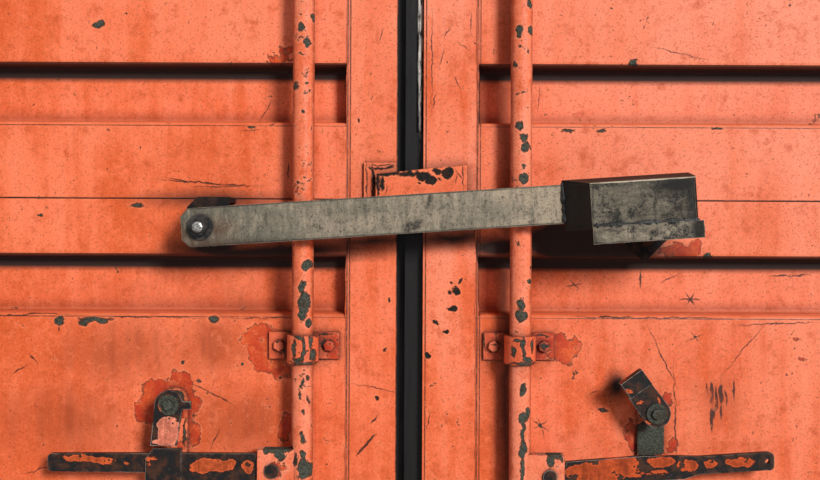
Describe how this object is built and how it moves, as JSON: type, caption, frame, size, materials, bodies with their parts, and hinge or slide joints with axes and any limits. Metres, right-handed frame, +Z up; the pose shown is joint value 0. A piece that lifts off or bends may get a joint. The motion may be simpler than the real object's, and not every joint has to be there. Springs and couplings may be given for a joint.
{
  "type": "shipping container door end",
  "caption": "Rear end of a freight container: frame with corner castings, a pair of ribbed doors, lock rods with levers and a flat cross bar with a padlock hood.",
  "frame": {"origin": "middle of the sill's back face, 80 mm above the ground", "axes": "+X to the right seen from outside, +Y back into the container, +Z up"},
  "size_m": [2.438, 0.25, 2.591],
  "materials": {
    "orange_paint": "faded semi-matt paint with chips",
    "frame_paint": "faded semi-matt paint",
    "worn_paint": "paint worn through to dark steel",
    "rusted_steel": "dark rusted steel",
    "weathered_steel": "dull weathered bare steel",
    "bolt_steel": "worn zinc",
    "rubber_seal": "black rubber, glossy in places"
  },
  "bodies": {
    "frame": {"sill": "frame_paint", "header": "frame_paint", "left_post": "orange_paint", "right_post": "orange_paint", "bottom_castings": "frame_paint", "top_castings": "frame_paint", "bottom_keepers": "orange_paint", "top_keepers": "orange_paint", "left_hinge_lugs": "orange_paint", "right_hinge_lugs": "orange_paint"},
    "left_leaf": {"left_panel": "orange_paint", "left_inner_stile": "orange_paint", "left_outer_stile": "orange_paint", "left_rails": "orange_paint", "left_seal": "rubber_seal", "left_hinge_blades": "orange_paint", "left_outer_rod": "orange_paint", "left_outer_lever": "worn_paint", "left_rod_guides": "orange_paint", "left_catch_bracket": "orange_paint", "left_overlap_pad": "orange_paint", "bar_bracket": "rusted_steel", "bar_pivot_bolt": "bolt_steel"},
    "right_leaf": {"right_panel": "orange_paint", "right_inner_stile": "orange_paint", "right_outer_stile": "orange_paint", "right_rails": "orange_paint", "right_seal": "rubber_seal", "right_hinge_blades": "orange_paint", "right_outer_rod": "orange_paint", "right_outer_lever": "worn_paint", "right_rod_guides": "orange_paint", "right_catch_bracket": "orange_paint", "overlap_plate": "orange_paint", "hasp_plate": "rusted_steel"},
    "left_rod": {"left_inner_rod": "orange_paint", "left_lever": "worn_paint"},
    "right_rod": {"right_inner_rod": "orange_paint", "right_lever": "worn_paint"},
    "left_catch": {"left_catch": "rusted_steel"},
    "right_catch": {"right_catch": "rusted_steel"},
    "lock_bar": {"lock_bar": "weathered_steel", "lock_hood": "weathered_steel", "hood_lip": "weathered_steel"}
  },
  "joints": [
    {"name": "right_leaf_swing", "type": "hinge", "parent": "frame", "child": "right_leaf", "pos_m": [1.2, -0.155, 1.2225], "axis": [0, 0, 1], "range_deg": [0, 260]},
    {"name": "left_leaf_swing", "type": "hinge", "parent": "frame", "child": "left_leaf", "pos_m": [-1.2, -0.155, 1.2225], "axis": [0, 0, 1], "range_deg": [-260, 0]},
    {"name": "lock_bar_swing", "type": "hinge", "parent": "left_leaf", "child": "lock_bar", "pos_m": [-0.322, -0.185, 1.395], "axis": [0, -1, 0], "range_deg": [0, 95]},
    {"name": "left_rod_turn", "type": "hinge", "parent": "left_leaf", "child": "left_rod", "pos_m": [-0.168, -0.145, 1.015], "axis": [0, 0, 1], "range_deg": [0, 105]},
    {"name": "right_rod_turn", "type": "hinge", "parent": "right_leaf", "child": "right_rod", "pos_m": [0.174, -0.145, 1.008], "axis": [0, 0, -1], "range_deg": [0, 105]},
    {"name": "left_catch_swing", "type": "hinge", "parent": "left_leaf", "child": "left_catch", "pos_m": [-0.374, -0.16, 1.119], "axis": [0, 1, 0], "range_deg": [-140, 140]},
    {"name": "right_catch_swing", "type": "hinge", "parent": "right_leaf", "child": "right_catch", "pos_m": [0.385, -0.16, 1.1085], "axis": [0, 1, 0], "range_deg": [-144, 30]}
  ],
  "couplings": [
    {"joint": "left_leaf_swing", "follows": "right_leaf_swing", "ratio": -1}
  ]
}
